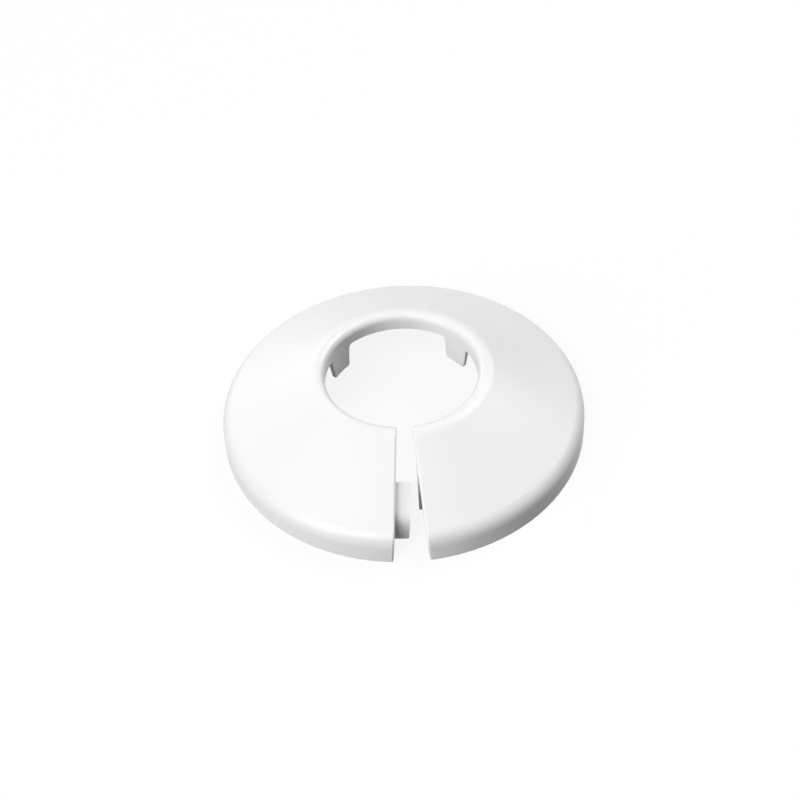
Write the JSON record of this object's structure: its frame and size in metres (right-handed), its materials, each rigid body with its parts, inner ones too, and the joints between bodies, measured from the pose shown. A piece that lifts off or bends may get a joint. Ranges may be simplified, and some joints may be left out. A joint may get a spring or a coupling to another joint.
{
  "type": "pipe escutcheon",
  "caption": "Split pipe collar that clips round a pipe: a shallow conical cover ring with a rolled lip round the bore, a tapered slit bridged by a tongue, and grip fingers inside.",
  "frame": {"origin": "centre of the pipe bore, in the plane of the rim's foot that lies on the wall or floor", "axes": "+Z along the pipe, away from the wall or floor that the collar covers; the slit faces -Y"},
  "size_m": [0.055, 0.0549, 0.0116],
  "materials": {
    "white_plastic": "satin moulded white plastic"
  },
  "bodies": {
    "root": {"split_collar": "white_plastic"}
  },
  "joints": []
}
